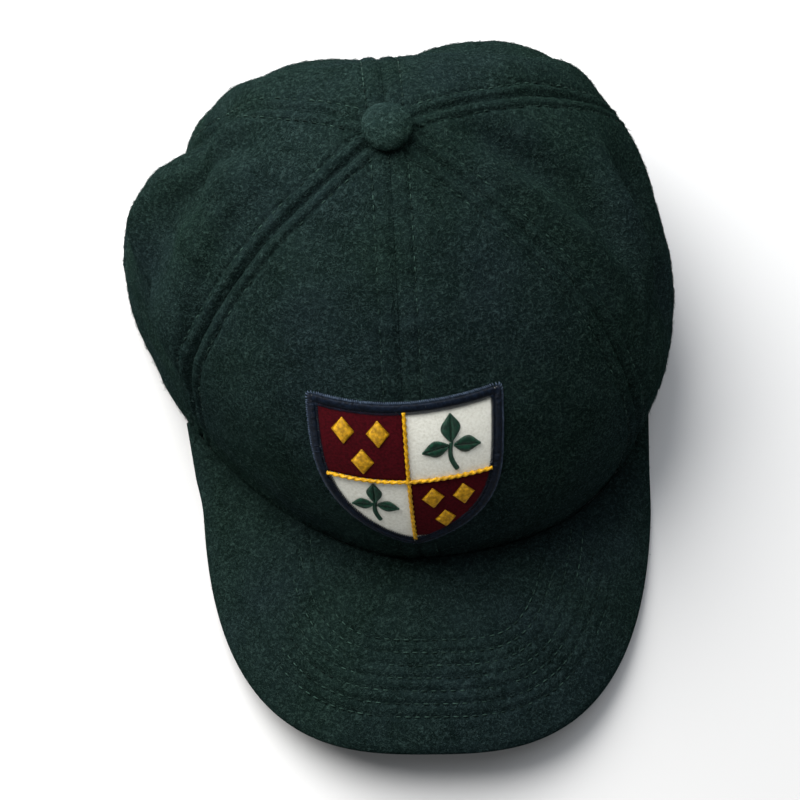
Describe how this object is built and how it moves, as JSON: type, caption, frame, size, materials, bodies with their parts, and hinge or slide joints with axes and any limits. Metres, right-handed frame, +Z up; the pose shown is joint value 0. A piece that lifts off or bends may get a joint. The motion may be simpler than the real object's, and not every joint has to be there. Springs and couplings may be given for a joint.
{
  "type": "peaked cap",
  "caption": "Soft wool peaked cap: panelled crown slumped into folds, covered top button, curved stitched peak, shield patch on the front, open below for the head.",
  "frame": {"origin": "middle of the cap's box, on the floor that it rests on", "axes": "+Z up, -Y towards the front edge of the peak, +X towards the wearer's left"},
  "size_m": [0.1978, 0.2658, 0.1228],
  "materials": {
    "wool_cloth": "brushed wool cloth, bottle green, matt with a short pale nap",
    "embroidery": "satin stitched thread on felt: navy border, maroon and off-white fields, gold and green figures"
  },
  "bodies": {
    "root": {"panel_front_left": "wool_cloth", "panel_front_right": "wool_cloth", "panel_side_left": "wool_cloth", "panel_side_right": "wool_cloth", "panel_back_left": "wool_cloth", "panel_back_right": "wool_cloth", "top_button": "wool_cloth", "peak": "wool_cloth", "patch": "embroidery"}
  },
  "joints": []
}
